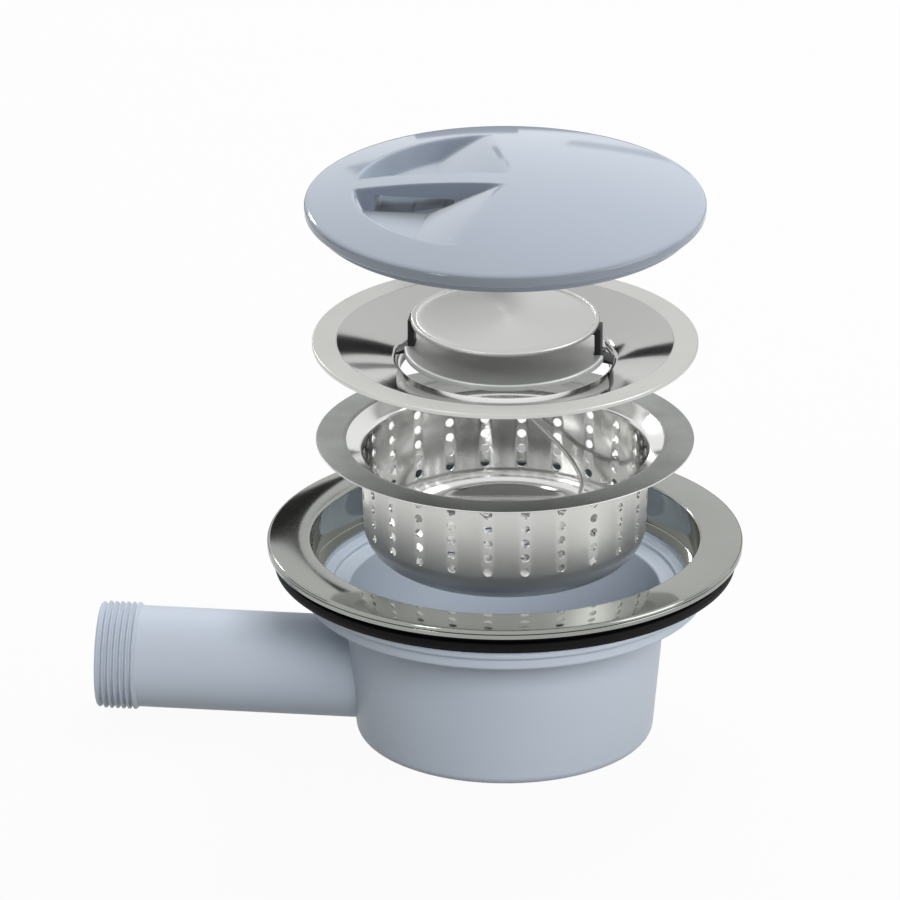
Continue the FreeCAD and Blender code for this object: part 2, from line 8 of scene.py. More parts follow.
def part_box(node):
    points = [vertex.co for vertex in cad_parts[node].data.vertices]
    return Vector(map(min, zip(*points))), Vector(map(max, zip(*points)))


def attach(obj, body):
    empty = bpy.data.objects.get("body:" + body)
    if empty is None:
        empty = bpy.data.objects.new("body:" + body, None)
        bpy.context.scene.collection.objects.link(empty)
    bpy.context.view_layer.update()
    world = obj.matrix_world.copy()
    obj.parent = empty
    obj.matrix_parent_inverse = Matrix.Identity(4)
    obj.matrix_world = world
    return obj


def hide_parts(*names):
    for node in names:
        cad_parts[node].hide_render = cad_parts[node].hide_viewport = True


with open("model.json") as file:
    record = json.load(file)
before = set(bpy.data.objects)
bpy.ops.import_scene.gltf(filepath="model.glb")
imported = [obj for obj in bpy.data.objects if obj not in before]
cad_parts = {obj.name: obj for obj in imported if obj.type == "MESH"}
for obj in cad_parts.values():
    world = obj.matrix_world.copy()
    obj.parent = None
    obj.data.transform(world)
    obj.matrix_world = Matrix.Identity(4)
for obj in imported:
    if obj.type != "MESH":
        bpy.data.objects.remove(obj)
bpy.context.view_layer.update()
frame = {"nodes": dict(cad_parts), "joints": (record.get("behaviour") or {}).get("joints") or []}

mm = 0.001
print("frame loaded:", len(frame["nodes"]), "nodes")


# section and mesh helpers

meshing = {"weld": 1e-6, "onAxis": 1e-9, "roundSegments": 7, "steps": 192, "sharp": 32}


def drawSection(bm, corners, closed=True):
    # a corner is (radius, height) or (radius, height, rounding) in millimetres, drawn in the XZ plane
    verts = [bm.verts.new((c[0] * mm, 0, c[1] * mm)) for c in corners]
    count = len(verts)
    sides = count if closed else count - 1
    for i in range(sides):
        bm.edges.new((verts[i], verts[(i + 1) % count]))
    setbacks = []
    for i, corner in enumerate(corners):
        if len(corner) < 3:
            continue
        before = (verts[i].co - verts[i - 1].co).normalized()
        after = (verts[(i + 1) % count].co - verts[i].co).normalized()
        setbacks.append((verts[i], corner[2] * mm * math.tan(before.angle(after) / 2)))
    for vert, setback in setbacks:
        bmesh.ops.bevel(bm, geom=[vert], offset=setback, offset_type='OFFSET', affect='VERTICES',
                        segments=meshing["roundSegments"], profile=0.5, material=-1)


def spinSection(bm, steps):
    bmesh.ops.spin(bm, geom=bm.verts[:] + bm.edges[:], cent=(0, 0, 0), axis=(0, 0, 1), dvec=(0, 0, 0),
                   angle=math.tau, steps=steps, use_merge=True, use_normal_flip=False, use_duplicate=False)
    bmesh.ops.remove_doubles(bm, verts=bm.verts[:], dist=meshing["weld"])
    bmesh.ops.recalc_face_normals(bm, faces=bm.faces[:])


def drawOut(bm, outline, lift, width):
    # a closed outline in the XZ plane, given in millimetres above lift, drawn out along Y
    side = bm.faces.new([bm.verts.new((x * mm, -width / 2, lift + z * mm)) for x, z in outline])
    grown = bmesh.ops.extrude_face_region(bm, geom=[side])
    moved = [v for v in grown["geom"] if isinstance(v, bmesh.types.BMVert)]
    bmesh.ops.translate(bm, verts=moved, vec=(0, width, 0))


def meshFrom(name, bm):
    mesh = bpy.data.meshes.new(name)
    bm.to_mesh(mesh)
    bm.free()
    return mesh


def addObject(name, data):
    added = bpy.data.objects.new(name, data)
    bpy.context.scene.collection.objects.link(added)
    return added


def shadeSmooth(mesh, sharp):
    mesh.polygons.foreach_set("use_smooth", [True] * len(mesh.polygons))
    mesh.set_sharp_from_angle(angle=math.radians(sharp))


def makePiece(name, bm, materials, body, node, sharp=meshing["sharp"]):
    mesh = meshFrom(name, bm)
    for material in materials:
        mesh.materials.append(material)
    shadeSmooth(mesh, sharp)
    piece = addObject(name, mesh)
    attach(piece, body)
    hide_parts(node)
    print("piece", name, len(mesh.polygons), "faces")
    return piece


def turnedPiece(name, corners, materials, body, node, lift=0.0, steps=meshing["steps"]):
    bm = bmesh.new()
    drawSection(bm, corners)
    spinSection(bm, steps)
    bmesh.ops.translate(bm, verts=bm.verts[:], vec=(0, 0, lift))
    return makePiece(name, bm, materials, body, node)


def cutterFrom(bm):
    bmesh.ops.recalc_face_normals(bm, faces=bm.faces[:])
    return addObject("cutter", meshFrom("cutter", bm))


def cutWith(piece, cutter, sharp=meshing["sharp"]):
    # cuts a closed mesh out of a piece for good, then drops the cutter
    cutMod = piece.modifiers.new("cut", 'BOOLEAN')
    cutMod.object = cutter
    cutMod.operation = 'DIFFERENCE'
    cutMod.solver = 'EXACT'
    bpy.context.view_layer.update()
    shaped = piece.evaluated_get(bpy.context.evaluated_depsgraph_get())
    mesh = bpy.data.meshes.new_from_object(shaped)
    piece.modifiers.remove(cutMod)
    old = piece.data
    mesh.name = old.name
    mesh.materials.clear()
    for material in old.materials:
        mesh.materials.append(material)
    mesh.polygons.foreach_set("material_index", [0] * len(mesh.polygons))
    piece.data = mesh
    bpy.data.meshes.remove(old)
    cutterMesh = cutter.data
    bpy.data.objects.remove(cutter)
    bpy.data.meshes.remove(cutterMesh)
    shadeSmooth(mesh, sharp)


# materials: two close colours in soft patches, and a fine grain whose height is in millimetres

grainLook = {"patchDetail": 3.0, "detail": 4.0, "strength": 0.25}


def finish(name, color, second, metallic, roughness, roughSpread, patchScale, grainScale, grainHeight,
           shine=0.5, brushed=0.0):
    material = bpy.data.materials.new(name)
    material.use_nodes = True
    nodes, links = material.node_tree.nodes, material.node_tree.links
    shader = nodes["Principled BSDF"]
    shader.inputs["Metallic"].default_value = metallic
    shader.inputs["Specular IOR Level"].default_value = shine
    if brushed:  # polishing marks that run round the axis
        shader.inputs["Anisotropic"].default_value = brushed
        around = nodes.new("ShaderNodeTangent")
        around.direction_type = 'RADIAL'
        around.axis = 'Z'
        links.new(around.outputs["Tangent"], shader.inputs["Tangent"])
    coords = nodes.new("ShaderNodeTexCoord")
    patches = nodes.new("ShaderNodeTexNoise")
    patches.inputs["Scale"].default_value = patchScale
    patches.inputs["Detail"].default_value = grainLook["patchDetail"]
    links.new(coords.outputs["Object"], patches.inputs["Vector"])
    blend = nodes.new("ShaderNodeMix")
    blend.data_type = 'RGBA'
    blend.inputs["A"].default_value = (*color, 1)
    blend.inputs["B"].default_value = (*second, 1)
    links.new(patches.outputs["Fac"], blend.inputs["Factor"])
    links.new(blend.outputs["Result"], shader.inputs["Base Color"])
    grain = nodes.new("ShaderNodeTexNoise")
    grain.inputs["Scale"].default_value = grainScale
    grain.inputs["Detail"].default_value = grainLook["detail"]
    links.new(coords.outputs["Object"], grain.inputs["Vector"])
    spread = nodes.new("ShaderNodeMapRange")
    spread.inputs["To Min"].default_value = roughness - roughSpread
    spread.inputs["To Max"].default_value = roughness + roughSpread
    links.new(grain.outputs["Fac"], spread.inputs["Value"])
    links.new(spread.outputs["Result"], shader.inputs["Roughness"])
    bump = nodes.new("ShaderNodeBump")
    bump.inputs["Strength"].default_value = grainLook["strength"]
    bump.inputs["Distance"].default_value = grainHeight * mm
    links.new(grain.outputs["Fac"], bump.inputs["Height"])
    links.new(bump.outputs["Normal"], shader.inputs["Normal"])
    return material


# plastics and rubber
lidGloss = finish("lidGloss", (0.365, 0.423, 0.500), (0.385, 0.429, 0.507), metallic=0.0, roughness=0.09,
                  roughSpread=0.025, patchScale=18, grainScale=900, grainHeight=0.003)
# pocket walls: less polished than the top, and a little darker as painted shade
lidWallDullShaded = finish("lidWallDullShaded", (0.335, 0.390, 0.468), (0.350, 0.395, 0.475), metallic=0.0, roughness=0.20,
                 roughSpread=0.03, patchScale=18, grainScale=900, grainHeight=0.003, shine=0.15)
# passage under the bar: colour painted dark as the shade inside it
lidPassageShade = finish("lidPassageShade", (0.14, 0.175, 0.22), (0.16, 0.19, 0.235), metallic=0.0, roughness=0.5,
                    roughSpread=0.05, patchScale=18, grainScale=900, grainHeight=0.01, shine=0.15)
cupPlastic = finish("cupPlastic", (0.415, 0.486, 0.552), (0.455, 0.490, 0.564), metallic=0.0, roughness=0.44,
                    roughSpread=0.06, patchScale=16, grainScale=1400, grainHeight=0.02)
gasketRubber = finish("gasketRubber", (0.007, 0.007, 0.008), (0.012, 0.012, 0.013), metallic=0.0,
                      roughness=0.62, roughSpread=0.10, patchScale=60, grainScale=1600, grainHeight=0.08,
                      shine=0.12)
carrierBlack = finish("carrierBlack", (0.012, 0.013, 0.015), (0.02, 0.021, 0.024), metallic=0.0,
                      roughness=0.42, roughSpread=0.06, patchScale=60, grainScale=1500, grainHeight=0.02,
                      shine=0.3)

# steels, from mirror to satin
flangeMirror = finish("flangeMirror", (0.34, 0.35, 0.33), (0.30, 0.31, 0.29), metallic=1.0, roughness=0.07,
                      roughSpread=0.015, patchScale=30, grainScale=1500, grainHeight=0.003)
dishMirror = finish("dishMirror", (0.48, 0.48, 0.47), (0.43, 0.44, 0.43), metallic=1.0, roughness=0.08,
                    roughSpread=0.02, patchScale=30, grainScale=1500, grainHeight=0.003)
dishRim = finish("dishRim", (0.66, 0.66, 0.64), (0.57, 0.57, 0.55), metallic=1.0, roughness=0.34,
                 roughSpread=0.06, patchScale=40, grainScale=1800, grainHeight=0.006)
capSatin = finish("capSatin", (0.60, 0.60, 0.58), (0.55, 0.56, 0.54), metallic=1.0, roughness=0.30,
                  roughSpread=0.03, patchScale=25, grainScale=1500, grainHeight=0.003, brushed=0.7)
plateSatin = finish("plateSatin", (0.78, 0.79, 0.77), (0.71, 0.72, 0.70), metallic=0.55, roughness=0.46,
                    roughSpread=0.04, patchScale=25, grainScale=1500, grainHeight=0.003)
# throat inside: duller steel, its colour painted dark as a dark reflection
throatDullShade = finish("throatDullShade", (0.16, 0.16, 0.16), (0.11, 0.11, 0.11), metallic=1.0, roughness=0.30,
                    roughSpread=0.05, patchScale=40, grainScale=1500, grainHeight=0.004)
basketRim = finish("basketRim", (0.46, 0.47, 0.46), (0.18, 0.19, 0.18), metallic=1.0, roughness=0.36,
                   roughSpread=0.12, patchScale=45, grainScale=1100, grainHeight=0.12)
basketSatin = finish("basketSatin", (0.76, 0.76, 0.74), (0.68, 0.68, 0.66), metallic=1.0, roughness=0.42,
                     roughSpread=0.08, patchScale=45, grainScale=2400, grainHeight=0.02)
basketBright = finish("basketBright", (0.78, 0.78, 0.77), (0.70, 0.70, 0.69), metallic=1.0, roughness=0.12,
                      roughSpread=0.04, patchScale=40, grainScale=1800, grainHeight=0.008)
wireSteel = finish("wireSteel", (0.62, 0.62, 0.61), (0.55, 0.55, 0.54), metallic=1.0, roughness=0.24,
                   roughSpread=0.05, patchScale=60, grainScale=2500, grainHeight=0.01)
print("materials made:", len(bpy.data.materials))


# steel flange, with the hem's seam halfway up its edge

flangeLow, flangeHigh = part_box("top_flange")
flange = {"radius": flangeHigh.x / mm, "top": flangeHigh.z / mm, "sheet": 0.8, "topFall": 0.3,
          "topRound": 1.2, "hemHeight": 4.0, "hemFold": 1.8, "lipInset": 0.1, "lipRound": 0.5,
          "seamGap": 0.25, "seamRound": 0.3, "seamDepth": 0.8, "opening": 75.5, "openingRound": 1.0,
          "ledgeWidth": 4.5, "ledgeRound": 0.5, "play": 0.3, "steps": 256}
ledge = flangeLow.z / mm + flange["sheet"]
ledgeUnder = ledge - flange["sheet"]
ledgeIn = flange["opening"] - flange["ledgeWidth"]
collarOut = flange["opening"] + flange["sheet"]
collarRoom = collarOut + flange["play"]
flangeUnder = flange["top"] - flange["sheet"]
hemIn = flange["radius"] - flange["hemFold"]
hemLow = flange["top"] - flange["hemHeight"]
hemMiddle = hemLow + 0.5 * flange["hemHeight"]
lipOut = flange["radius"] - flange["lipInset"]
flangePiece = turnedPiece("flangeRing", [
    (ledgeIn, ledgeUnder), (collarOut, ledgeUnder), (collarOut, flangeUnder), (hemIn, flangeUnder),
    (hemIn, hemLow), (lipOut, hemLow, flange["lipRound"]),
    (lipOut, hemMiddle - flange["seamGap"], flange["seamRound"]),
    (flange["radius"] - flange["seamDepth"], hemMiddle),
    (flange["radius"], hemMiddle + flange["seamGap"], flange["seamRound"]),
    (flange["radius"], flange["top"] - flange["topFall"], flange["topRound"]),
    (flange["opening"], flange["top"], flange["openingRound"]),
    (flange["opening"], ledge, flange["ledgeRound"]), (ledgeIn, ledge),
], [flangeMirror], "waste_body", "top_flange", steps=flange["steps"])

# rubber rings under the flange
rubber = {"sealInset": 0.4, "gasketInset": 0.5, "cornerRound": 0.6, "crownRound": 1.2}


def rubberRing(name, node, inset):
    low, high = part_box(node)
    outer = high.x / mm
    turnedPiece(name, [
        (collarRoom, low.z / mm), (outer - inset, low.z / mm, rubber["cornerRound"]),
        (outer, (low.z + high.z) / 2 / mm, rubber["crownRound"]),
        (outer - inset, high.z / mm, rubber["cornerRound"]), (collarRoom, high.z / mm),
    ], [gasketRubber], "waste_body", node)


rubberRing("upperSeal", "upper_seal", rubber["sealInset"])
rubberRing("lowerGasket", "lower_gasket", rubber["gasketInset"])
print("flange and rings done")


# cup with its ridged shoulder and inner steps

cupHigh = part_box("body_cup")[1]
cup = {"top": cupHigh.z / mm, "shoulder": cupHigh.x / mm, "band": 78.4, "bandHeight": 12.0, "bandRound": 1.4,
       "ridge": 2.6, "ridgeRound": 1.1, "ridgeFoot": 0.5, "groove": 1.6, "grooveDepth": 1.6,
       "grooveRound": 0.4, "wallTop": 63.0, "wallLow": 57.5, "wall": 2.6, "neckRound": 0.8, "baseRound": 4.0,
       "stepWidth": 4, "stepDrop": 2, "noseRound": 0.9, "nookRound": 0.6, "wallRound": 1.2, "floor": 2.6,
       "floorRound": 3.0}
bandLow = cup["top"] - cup["bandHeight"]
ridgeLow = cup["top"] - cup["ridge"]
ridgeTop = ridgeLow - cup["groove"]
ridgeEnd = ridgeTop - cup["ridge"]
grooveIn = cup["shoulder"] - cup["grooveDepth"]
firstStep = ledgeUnder - cup["stepDrop"]
lastStep = ledgeUnder - 2 * cup["stepDrop"]
stepIn = ledgeIn - cup["stepWidth"]
innerTop = cup["wallTop"] - cup["wall"]
innerLow = cup["wallLow"] - cup["wall"]
cupPiece = turnedPiece("wasteCup", [
    (0, 0), (cup["wallLow"], 0, cup["baseRound"]), (cup["wallTop"], bandLow, cup["neckRound"]),
    (cup["band"], bandLow, cup["bandRound"]), (cup["band"], ridgeEnd, cup["ridgeFoot"]),
    (cup["shoulder"], ridgeEnd, cup["ridgeRound"]), (cup["shoulder"], ridgeTop, cup["ridgeRound"]),
    (grooveIn, ridgeTop, cup["grooveRound"]), (grooveIn, ridgeLow, cup["grooveRound"]),
    (cup["shoulder"], ridgeLow, cup["ridgeRound"]), (cup["shoulder"], cup["top"]),
    (collarRoom, cup["top"]), (collarRoom, ledgeUnder), (ledgeIn, ledgeUnder, cup["noseRound"]),
    (ledgeIn, firstStep, cup["nookRound"]), (stepIn, firstStep, cup["noseRound"]),
    (stepIn, lastStep, cup["nookRound"]), (innerTop, lastStep, cup["wallRound"]),
    (innerLow, cup["floor"], cup["floorRound"]), (0, cup["floor"]),
], [cupPlastic], "waste_body", "body_cup")

# side outlet: a hole in the cup, then the pipe with its thread's ridges one pitch apart
outletLow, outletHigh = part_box("outlet_pipe")
outlet = {"height": (outletLow.z + outletHigh.z) / 2 / mm, "radius": 19.8, "bore": 17.0, "boreRound": 0.8,
          "start": 50.0, "reach": -outletLow.x / mm, "thread": 20.95, "threadLength": 15.0, "pitch": 2.309,
          "root": 19.55, "crestEnd": 0.5, "rootFrom": 1.15, "rootEnd": 1.6, "crestRound": 0.25,
          "rootRound": 0.2, "runIn": 1.2, "runInRound": 0.6, "mouthFall": 0.2, "mouthBack": 0.9,
          "mouthRound": 0.4, "weldGap": 0.05, "holeLength": 60.0, "holeSides": 96, "steps": 128,
          "trimHeight": 51.6}
towardOutlet = Matrix.Translation((0, 0, outlet["height"] * mm)) @ Matrix.Rotation(-math.pi / 2, 4, 'Y')
holeRadius = (outlet["radius"] + outlet["weldGap"]) * mm
holeLength = outlet["holeLength"] * mm
bm = bmesh.new()
bmesh.ops.create_cone(bm, cap_ends=True, segments=outlet["holeSides"], radius1=holeRadius, radius2=holeRadius,
                      depth=holeLength)
bmesh.ops.transform(bm, matrix=towardOutlet @ Matrix.Translation((0, 0, holeLength)), verts=bm.verts[:])
cutWith(cupPiece, cutterFrom(bm))

threadFrom = outlet["reach"] - outlet["threadLength"]
pipeCorners = [(outlet["bore"], outlet["start"]), (outlet["radius"], outlet["start"]),
               (outlet["radius"], threadFrom - outlet["runIn"], outlet["runInRound"])]
for ridge in range(int(outlet["threadLength"] / outlet["pitch"])):
    base = threadFrom + ridge * outlet["pitch"]
    pipeCorners += [(outlet["thread"], base, outlet["crestRound"]),
                    (outlet["thread"], base + outlet["crestEnd"], outlet["crestRound"]),
                    (outlet["root"], base + outlet["rootFrom"], outlet["rootRound"]),
                    (outlet["root"], base + outlet["rootEnd"], outlet["rootRound"])]
mouthFrom = outlet["reach"] - outlet["mouthBack"]
pipeCorners += [(outlet["thread"] - outlet["mouthFall"], mouthFrom, outlet["mouthRound"]),
                (outlet["thread"] - outlet["mouthBack"], outlet["reach"], outlet["mouthRound"]),
                (outlet["bore"], outlet["reach"], outlet["boreRound"])]
bm = bmesh.new()
drawSection(bm, pipeCorners)
spinSection(bm, outlet["steps"])
bmesh.ops.transform(bm, matrix=towardOutlet, verts=bm.verts[:])
pipePiece = makePiece("outletPipe", bm, [cupPlastic], "waste_body", "outlet_pipe")
# the pipe's inner end is trimmed to the cup's sloping wall
trimHeight = outlet["trimHeight"] * mm
bm = bmesh.new()
bmesh.ops.create_cone(bm, cap_ends=True, segments=meshing["steps"], radius1=innerLow * mm,
                      radius2=innerTop * mm, depth=trimHeight)
bmesh.ops.translate(bm, verts=bm.verts[:], vec=(0, 0, cup["floor"] * mm + trimHeight / 2))
cutWith(pipePiece, cutterFrom(bm))
print("cup and outlet done")


# basket: drawn wall, wide rim and punched holes

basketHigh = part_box("basket")[1]
basket = {"sheet": 0.7, "rim": basketHigh.x / mm, "rimRound": 0.3, "droop": 0.1, "mouth": 62.5,
          "mouthRound": 3.0, "wall": 56.0, "taper": 1.5, "neck": 4.6, "neckRound": 2.2, "innerNeck": 4.2,
          "depth": 48.0, "corner": 14.0, "plateau": 36.0, "rise": 3.0, "slope": 3.0, "slopeRound": 1.5,
          "steps": 240, "hole": 1.8, "holeSides": 18, "columns": 24, "rows": 5, "first": 8.5, "pitch": 6.1,
          "punch": 12.0, "punchAt": 55.0, "floorHole": 1.5, "floorHoleSides": 16, "floorLines": 12,
          "floorRows": 4, "floorFirst": 9.0, "floorPitch": 7.0, "floorPunch": 8.0, "grainFrom": 60.5,
          "rimTilt": 0.6, "insideTilt": 0.2}
sheet = basket["sheet"]
basketZ = basketHigh.z - sheet * mm
lowWall = basket["wall"] - basket["taper"]
floorZ = -basket["depth"]
plateauZ = floorZ + basket["rise"]
plateauFoot = basket["plateau"] + basket["slope"]
basketPiece = turnedPiece("strainerBasket", [
    (0, plateauZ), (basket["plateau"], plateauZ, basket["slopeRound"]),
    (plateauFoot, floorZ, basket["slopeRound"]), (lowWall, floorZ, basket["corner"]),
    (basket["wall"], -basket["neck"], basket["neckRound"]), (basket["mouth"], 0, basket["mouthRound"]),
    (basket["rim"], -basket["droop"], basket["rimRound"]),
    (basket["rim"], sheet - basket["droop"], basket["rimRound"]),
    (basket["mouth"], sheet, basket["mouthRound"] + sheet),
    (basket["wall"] - sheet, sheet - basket["innerNeck"], basket["neckRound"] + sheet),
    (lowWall - sheet, floorZ + sheet, basket["corner"] - sheet),
    (plateauFoot, floorZ + sheet, basket["slopeRound"]),
    (basket["plateau"], plateauZ + sheet, basket["slopeRound"]), (0, plateauZ + sheet),
], [basketSatin, basketBright, basketRim], "basket", "basket", lift=basketZ, steps=basket["steps"])


def addPunch(bm, radius, sides, depth, place):
    punch = bmesh.ops.create_cone(bm, cap_ends=True, segments=sides, radius1=radius * mm, radius2=radius * mm,
                                  depth=depth * mm)
    bmesh.ops.transform(bm, matrix=place, verts=punch["verts"])


bm = bmesh.new()
sideways = Matrix.Rotation(math.pi / 2, 4, 'X')
for column in range(basket["columns"]):
    turn = Matrix.Rotation(math.tau * column / basket["columns"], 4, 'Z')
    for row in range(basket["rows"]):
        high = basketZ - (basket["first"] + row * basket["pitch"]) * mm
        place = turn @ Matrix.Translation((0, -basket["punchAt"] * mm, high)) @ sideways
        addPunch(bm, basket["hole"], basket["holeSides"], basket["punch"], place)
for line in range(basket["floorLines"]):
    turn = Matrix.Rotation(math.tau * line / basket["floorLines"], 4, 'Z')
    for row in range(basket["floorRows"]):
        out = (basket["floorFirst"] + row * basket["floorPitch"]) * mm
        place = turn @ Matrix.Translation((out, 0, basketZ + plateauZ * mm))
        addPunch(bm, basket["floorHole"], basket["floorHoleSides"], basket["floorPunch"], place)
cutWith(basketPiece, cutterFrom(bm))

# outside satin, inside bright, rim grainy
for face in basketPiece.data.polygons:
    spot, reach = face.center, face.center.xy.length
    outward = face.normal.dot(Vector((spot.x, spot.y, 0)).normalized()) if reach > meshing["weld"] else 0
    onRim = reach > basket["grainFrom"] * mm and face.normal.z > basket["rimTilt"]
    facesIn = outward < -basket["insideTilt"] or face.normal.z > basket["insideTilt"]
    isInside = facesIn and reach < basket["grainFrom"] * mm
    face.material_index = 2 if onRim else 1 if isInside else 0
print("basket done")


# bail: one bent wire, hooked through two opposite holes

bailJoint = [j for j in frame["joints"] if j["name"] == "bail_swing"][0]
bail = {"wire": 0.9, "height": 35.0, "taper": 9.0, "round": 20.0, "hook": 4.0, "bend": 1.6, "play": 0.4,
        "folded": 130.0, "wireSides": 4}
hookOut = basket["wall"] + bail["play"] + bail["wire"]
bailIn = basket["wall"] - basket["sheet"] - basket["taper"] - bail["play"] - bail["wire"]
bm = bmesh.new()
drawSection(bm, [
    (-hookOut, -bail["hook"]), (-hookOut, 0, bail["bend"]), (-bailIn, 0, bail["bend"]),
    (bail["taper"] - bailIn, bail["height"], bail["round"]),
    (bailIn - bail["taper"], bail["height"], bail["round"]),
    (bailIn, 0, bail["bend"]), (hookOut, 0, bail["bend"]), (hookOut, -bail["hook"]),
], closed=False)
# the rounded outline is walked from one tip to the other
tips = [v for v in bm.verts if len(v.link_edges) == 1]
here = min(tips, key=lambda v: v.co.x)
route, last = [here.co.copy()], None
while True:
    ways = [e for e in here.link_edges if e is not last]
    if not ways:
        break
    last = ways[0]
    here = last.other_vert(here)
    route.append(here.co.copy())
bm.free()
wireCurve = bpy.data.curves.new("bailWire", 'CURVE')
wireCurve.dimensions = '3D'
wireCurve.bevel_depth = bail["wire"] * mm
wireCurve.bevel_resolution = bail["wireSides"]
wireCurve.use_fill_caps = True
strand = wireCurve.splines.new('POLY')
strand.points.add(len(route) - 1)
swing = Matrix.Translation(Vector(bailJoint["pos_m"])) @ Matrix.Rotation(math.radians(bail["folded"]), 4, 'Y')
for point, spot in zip(strand.points, route):
    point.co = (*(swing @ Vector((0, spot.x, spot.z))), 1)
wireObject = addObject("bailWire", wireCurve)
bpy.context.view_layer.update()
wireMesh = bpy.data.meshes.new_from_object(wireObject)
bpy.data.objects.remove(wireObject)
bpy.data.curves.remove(wireCurve)
bm = bmesh.new()
bm.from_mesh(wireMesh)
bpy.data.meshes.remove(wireMesh)
bmesh.ops.remove_doubles(bm, verts=bm.verts[:], dist=meshing["weld"])
makePiece("bailHandle", bm, [wireSteel], "bail", "bail_handle")
print("bail done")


# funnel dish

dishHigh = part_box("funnel_dish")[1]
dish = {"sheet": 0.8, "rim": dishHigh.x / mm, "mouth": 65.4, "mouthRound": 1.5, "innerMouthRound": 2.0,
        "edge": 1.9, "lipRound": 0.3, "edgeRound": 0.5, "depth": 7.0, "throat": 40.8, "tube": 6.0,
        "fold": 3.6, "steps": 256, "satinFrom": 0.6, "throatShadeFrom": 1}
dishSheet = dish["sheet"]
dishZ = dishHigh.z - dishSheet * mm
throatOut = dish["throat"] + dishSheet
tubeEnd = -dish["depth"] - dish["tube"]
lipLow = dishSheet - dish["edge"]
dishPiece = turnedPiece("funnelDish", [
    (dish["throat"], tubeEnd), (throatOut, tubeEnd), (throatOut, -dish["depth"], dish["fold"]),
    (dish["mouth"], 0, dish["mouthRound"]), (dish["rim"] - dishSheet, 0), (dish["rim"] - dishSheet, lipLow),
    (dish["rim"], lipLow, dish["lipRound"]), (dish["rim"], dishSheet, dish["edgeRound"]),
    (dish["mouth"], dishSheet, dish["innerMouthRound"]),
    (dish["throat"], dishSheet - dish["depth"], dish["fold"] + dishSheet),
], [dishMirror, dishRim, throatDullShade], "dish", "funnel_dish", lift=dishZ, steps=dish["steps"])
# slope mirrored, rim satin, throat duller and painted dark as a dark reflection
for face in dishPiece.data.polygons:
    onRim = face.center.xy.length > (dish["mouth"] + dish["satinFrom"]) * mm
    inThroat = face.center.z - dishZ < (dish["throatShadeFrom"] - dish["depth"] - dish["fold"]) * mm
    face.material_index = 1 if onRim else 2 if inThroat else 0

# cap over the throat, a shallow crown inside a rolled edge
capLow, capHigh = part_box("cap_disc")
cap = {"radius": capHigh.x / mm, "low": (capLow.z - dishZ) / mm, "edge": 1.8, "lowRound": 0.7, "roll": 0.25,
       "rollRound": 0.8, "rollIn": 1.5, "rollInRound": 0.6, "groove": 1.9, "grooveRound": 0.4, "crown": 34.3,
       "rise": 1.6, "crownSteps": 12}
capTop = cap["low"] + cap["edge"]
crown = []
for step in range(cap["crownSteps"] + 1):
    share = 1 - step / cap["crownSteps"]
    crown.append((cap["crown"] * share, capTop + cap["rise"] * (1 - share ** 2)))
turnedPiece("capDisc", [
    (0, cap["low"]), (cap["radius"], cap["low"], cap["lowRound"]),
    (cap["radius"], capTop + cap["roll"], cap["rollRound"]),
    (cap["radius"] - cap["rollIn"], capTop + cap["roll"], cap["rollInRound"]),
    (cap["radius"] - cap["groove"], capTop - cap["roll"], cap["grooveRound"]), *crown,
], [capSatin], "dish", "cap_disc", lift=dishZ)

# lower plate, notched for the carrier's legs
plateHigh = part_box("lower_plate")[1]
plate = {"radius": 39.0, "sheet": 0.8, "top": (plateHigh.z - dishZ) / mm, "edge": 2.4, "topRound": 0.8,
         "innerRound": 0.4, "notch": 34.9, "notchWidth": 8.6, "notchLength": 12.0, "notchHeight": 20.0}
plateUnder = plate["top"] - plate["sheet"]
plateIn = plate["radius"] - plate["sheet"]
plateLow = plate["top"] - plate["edge"]
platePiece = turnedPiece("lowerPlate", [
    (0, plateUnder), (plateIn, plateUnder, plate["innerRound"]), (plateIn, plateLow),
    (plate["radius"], plateLow), (plate["radius"], plate["top"], plate["topRound"]), (0, plate["top"]),
], [plateSatin], "dish", "lower_plate", lift=dishZ)
notchSize = (plate["notchLength"] * mm, plate["notchWidth"] * mm, plate["notchHeight"] * mm)
notchMiddle = plate["notch"] * mm + notchSize[0] / 2
bm = bmesh.new()
for side in (-1, 1):
    notch = bmesh.ops.create_cube(bm, size=1)
    bmesh.ops.scale(bm, verts=notch["verts"], vec=notchSize)
    bmesh.ops.translate(bm, verts=notch["verts"], vec=(side * notchMiddle, 0, dishZ))
cutWith(platePiece, cutterFrom(bm))

# carrier: a bridge under the cap, with toes under the plate and feet that thin out onto the dish
carrierLow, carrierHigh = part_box("cap_carrier")
carrier = {"outer": 37.6, "wall": 2.4, "toe": 3.2, "foot": 2.0, "footShort": 1.6, "width": 8.0,
           "top": (carrierHigh.z - dishZ) / mm, "low": (carrierLow.z - dishZ) / mm, "tip": 0.8,
           "sag": 0.85, "edgeRound": 0.25, "edgeSegments": 2}
footReach = carrierHigh.x / mm - carrier["footShort"]
legIn = carrier["outer"] - carrier["wall"]
toeIn = legIn - carrier["toe"]
footLow = carrier["low"] - carrier["sag"]
half = [(carrier["outer"], carrier["top"]), (carrier["outer"], carrier["low"] + carrier["foot"]),
        (footReach, carrier["low"] + carrier["tip"] - carrier["sag"]), (footReach, footLow),
        (carrier["outer"], carrier["low"]), (toeIn, carrier["low"]), (toeIn, plateUnder), (legIn, plateUnder),
        (legIn, carrier["top"] - carrier["wall"])]
bm = bmesh.new()
drawOut(bm, half + [(-x, z) for x, z in reversed(half)], dishZ, carrier["width"] * mm)
bmesh.ops.recalc_face_normals(bm, faces=bm.faces[:])
bmesh.ops.bevel(bm, geom=bm.edges[:], offset=carrier["edgeRound"] * mm, offset_type='OFFSET', affect='EDGES',
                segments=carrier["edgeSegments"], profile=0.5, material=-1)
makePiece("capCarrier", bm, [carrierBlack], "dish", "cap_carrier")
print("dish done")


# lid: glossy dome with two finger pockets either side of a bar

